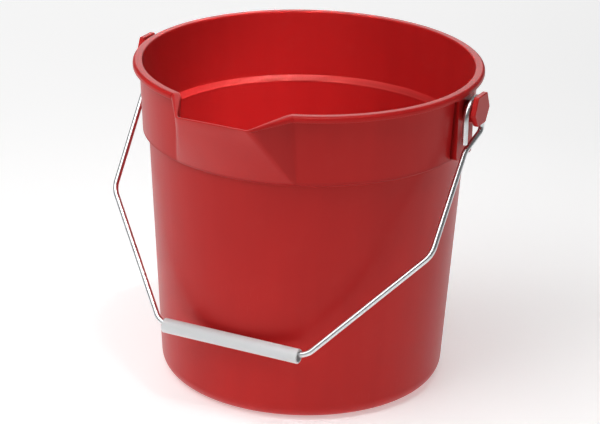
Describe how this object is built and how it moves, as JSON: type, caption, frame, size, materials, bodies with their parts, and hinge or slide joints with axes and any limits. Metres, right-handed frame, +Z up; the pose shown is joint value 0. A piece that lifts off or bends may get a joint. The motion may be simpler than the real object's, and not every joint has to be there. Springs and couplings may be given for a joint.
{
  "type": "wash bucket",
  "caption": "Round moulded wash bucket with a stepped band, rolled rim, pouring spout, side ears, swinging wire bail and a loose tube grip.",
  "frame": {"origin": "centre of the foot plane, on the bucket's axis", "axes": "+Z up along the bucket's axis, -Y towards the pouring spout, +X and -X through the two bail ears"},
  "size_m": [0.3278, 0.3284, 0.2858],
  "materials": {
    "bucket_plastic": "satin moulded polyethylene, red",
    "zinc_wire": "bright zinc-plated steel wire",
    "grip_plastic": "satin extruded plastic tube, white"
  },
  "bodies": {
    "bucket": {"bucket_shell": "bucket_plastic"},
    "bail": {"bail_wire": "zinc_wire"},
    "grip": {"bail_grip": "grip_plastic"}
  },
  "joints": [
    {"name": "bail_swing", "type": "hinge", "parent": "bucket", "child": "bail", "pos_m": [0, 0, 0.2657], "axis": [-1, 0, 0], "range_deg": [0, 289.6]},
    {"name": "grip_spin", "type": "hinge", "parent": "bail", "child": "grip", "pos_m": [0, -0.13604, 0.0726], "axis": [1, 0, 0], "continuous": true}
  ]
}
